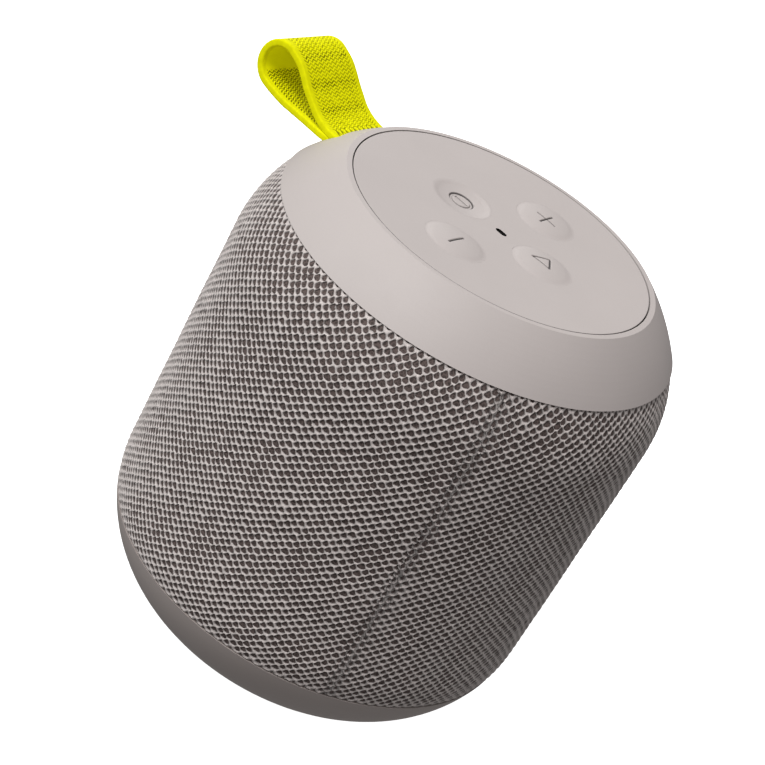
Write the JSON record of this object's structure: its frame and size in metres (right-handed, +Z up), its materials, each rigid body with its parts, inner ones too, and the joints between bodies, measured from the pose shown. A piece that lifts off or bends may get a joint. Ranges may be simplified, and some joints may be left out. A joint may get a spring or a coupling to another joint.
{
  "type": "portable bluetooth speaker",
  "caption": "Upright drum-shaped portable speaker with a mesh sleeve, a sloping cap, a dished button panel, a rounded base and a webbing loop.",
  "frame": {"origin": "middle of the foot pad's underside, on the surface the speaker stands on", "axes": "+Z up, +Y to the back, where the hanging loop and the charging port are, +X towards the plus button"},
  "size_m": [0.0932, 0.1084, 0.1049],
  "materials": {
    "cap_plastic": "soft-touch moulded plastic, warm light grey",
    "panel_skin": "soft-touch skin, warm light grey",
    "base_plastic": "soft-touch moulded plastic, warm grey",
    "mesh_fabric": "knitted mesh in two greys",
    "strap_webbing": "woven webbing, bright yellow",
    "grille_plastic": "moulded plastic, black brown",
    "foot_rubber": "soft rubber",
    "flap_rubber": "soft rubber, warm grey",
    "black_rubber": "soft black rubber",
    "inner_plastic": "moulded plastic, dark grey",
    "board": "circuit board with solder mask",
    "steel": "plated steel",
    "magnet_steel": "plated magnet",
    "cone_paper": "moulded cone",
    "cell_wrap": "shrink wrap over a steel can",
    "cable_film": "flat cable film"
  },
  "bodies": {
    "housing": {"top_cap": "cap_plastic", "control_panel": "panel_skin", "switch_bodies": "steel", "button_board": "board", "board_screws": "steel", "microphone": "steel", "mic_gasket": "black_rubber", "top_frame": "inner_plastic", "cap_screws": "steel", "strap_tail": "strap_webbing", "strap_pin": "steel", "fabric_sleeve": "mesh_fabric", "grille_tube": "grille_plastic", "base_cap": "base_plastic", "foot_pad": "foot_rubber", "usb_socket": "steel", "main_board": "board", "radio_module": "steel", "base_screws": "steel", "enclosure_shell": "inner_plastic", "enclosure_lid": "inner_plastic", "lid_seal": "black_rubber", "lid_screws": "steel", "battery_cell": "cell_wrap", "battery_cradle": "inner_plastic", "flex_cable": "cable_film", "right_basket": "steel", "right_magnet": "magnet_steel", "right_surround": "black_rubber", "left_basket": "steel", "left_magnet": "magnet_steel", "left_surround": "black_rubber", "front_radiator_frame": "inner_plastic", "front_radiator_surround": "black_rubber", "rear_radiator_frame": "inner_plastic", "rear_radiator_surround": "black_rubber"},
    "power_key": {"power_button": "panel_skin", "power_plunger": "inner_plastic"},
    "plus_key": {"plus_button": "panel_skin", "plus_plunger": "inner_plastic"},
    "minus_key": {"minus_button": "panel_skin", "minus_plunger": "inner_plastic"},
    "play_key": {"play_button": "panel_skin", "play_plunger": "inner_plastic"},
    "strap_loop": {"hang_strap": "strap_webbing"},
    "charge_flap": {"port_flap": "flap_rubber"},
    "right_diaphragm": {"right_cone": "cone_paper"},
    "left_diaphragm": {"left_cone": "cone_paper"},
    "front_passive": {"front_radiator_plate": "magnet_steel"},
    "rear_passive": {"rear_radiator_plate": "magnet_steel"}
  },
  "joints": [
    {"name": "power_press", "type": "slide", "parent": "housing", "child": "power_key", "axis": [0, 0, -1], "range_m": [0, 0.0005], "stiffness_N_per_m": 2000},
    {"name": "plus_press", "type": "slide", "parent": "housing", "child": "plus_key", "axis": [0, 0, -1], "range_m": [0, 0.0005], "stiffness_N_per_m": 2000},
    {"name": "minus_press", "type": "slide", "parent": "housing", "child": "minus_key", "axis": [0, 0, -1], "range_m": [0, 0.0005], "stiffness_N_per_m": 2000},
    {"name": "play_press", "type": "slide", "parent": "housing", "child": "play_key", "axis": [0, 0, -1], "range_m": [0, 0.0005], "stiffness_N_per_m": 2000},
    {"name": "strap_flex", "type": "hinge", "parent": "housing", "child": "strap_loop", "pos_m": [0, 0.0411, 0.0947], "axis": [1, 0, 0], "range_deg": [-20, 50], "stiffness_Nm_per_rad": 0.02},
    {"name": "flap_hinge", "type": "hinge", "parent": "housing", "child": "charge_flap", "pos_m": [0, 0.04185, 0.0062], "axis": [-1, 0, 0], "range_deg": [0, 100], "stiffness_Nm_per_rad": 0.001},
    {"name": "right_cone_travel", "type": "slide", "parent": "housing", "child": "right_diaphragm", "axis": [1, 0, 0], "range_m": [-0.0015, 0.0015], "stiffness_N_per_m": 800},
    {"name": "left_cone_travel", "type": "slide", "parent": "housing", "child": "left_diaphragm", "axis": [-1, 0, 0], "range_m": [-0.0015, 0.0015], "stiffness_N_per_m": 800},
    {"name": "front_passive_travel", "type": "slide", "parent": "housing", "child": "front_passive", "axis": [0, -1, 0], "range_m": [-0.0025, 0.0025], "stiffness_N_per_m": 600},
    {"name": "rear_passive_travel", "type": "slide", "parent": "housing", "child": "rear_passive", "axis": [0, 1, 0], "range_m": [-0.0025, 0.0025], "stiffness_N_per_m": 600}
  ]
}
